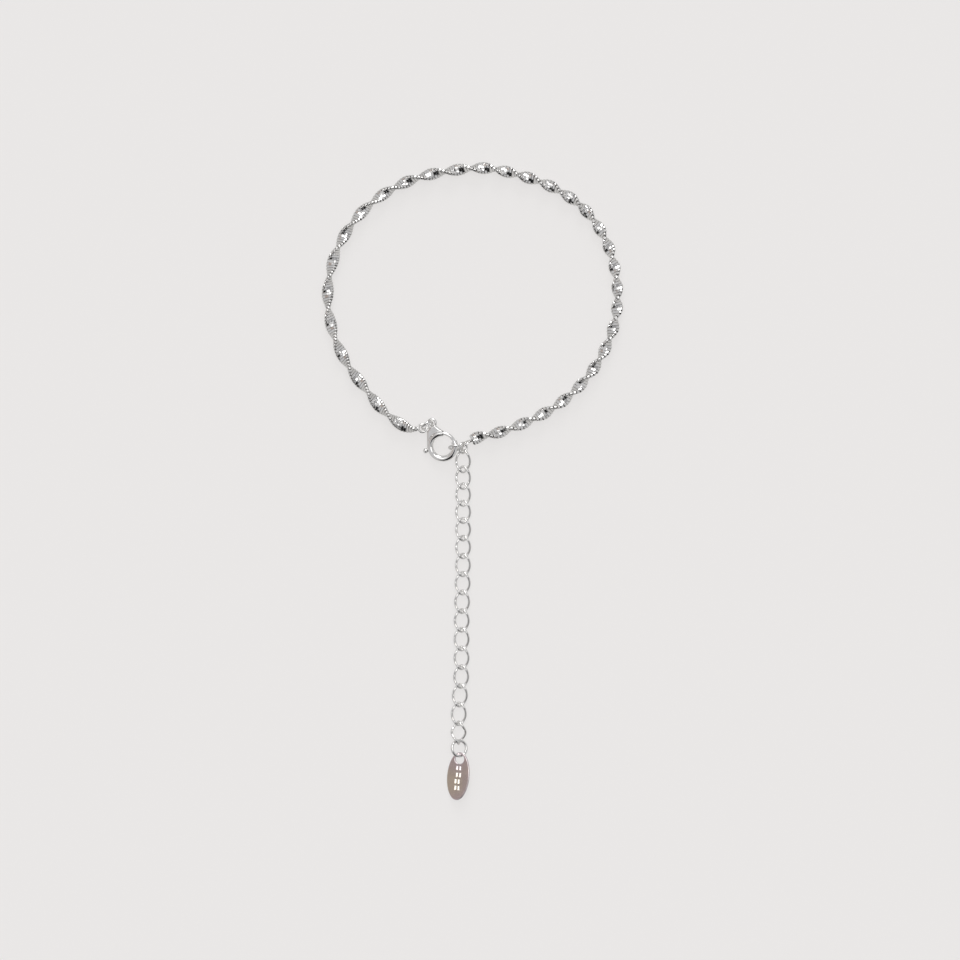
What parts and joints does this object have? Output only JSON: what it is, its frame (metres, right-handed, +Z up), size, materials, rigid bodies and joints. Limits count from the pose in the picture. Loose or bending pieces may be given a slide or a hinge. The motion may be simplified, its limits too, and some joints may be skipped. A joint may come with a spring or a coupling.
{
  "type": "bracelet",
  "caption": "Twisted serpentine chain bracelet with a spring-ring clasp, a curb-link extender and an oval tag.",
  "frame": {"origin": "middle of the bottom of the bounding box, on the surface that the bracelet lies on", "axes": "+Z up from the surface; +Y from the tag towards the far side of the loop; +X across the loop"},
  "size_m": [0.0522, 0.1102, 0.003],
  "materials": {
    "chain_silver": "polished silver serpentine links",
    "clasp_silver": "polished silver",
    "wire_silver": "polished silver wire",
    "tag_silver": "silver plate, softly polished"
  },
  "bodies": {
    "root": {"twisted_chain": "chain_silver", "clasp_body": "clasp_silver", "jump_ring": "wire_silver", "catch_ring": "wire_silver", "end_ring": "wire_silver", "extender_link_01": "wire_silver", "extender_link_02": "wire_silver", "extender_link_03": "wire_silver", "extender_link_04": "wire_silver", "extender_link_05": "wire_silver", "extender_link_06": "wire_silver", "extender_link_07": "wire_silver", "extender_link_08": "wire_silver", "extender_link_09": "wire_silver", "extender_link_10": "wire_silver", "extender_link_11": "wire_silver", "extender_link_12": "wire_silver", "extender_link_13": "wire_silver", "extender_link_14": "wire_silver", "extender_link_15": "wire_silver", "extender_link_16": "wire_silver", "tag_ring": "wire_silver", "tag": "tag_silver"},
    "bolt": {"clasp_bolt": "clasp_silver"}
  },
  "joints": [
    {"name": "bolt_slide_round", "type": "hinge", "parent": "root", "child": "bolt", "pos_m": [-0.00517, 0.00608, 0.00118], "axis": [-0.2351, -0.1081, 0.9659], "range_deg": [0, 66], "stiffness_Nm_per_rad": 0.003, "springref_deg": -17.19}
  ]
}
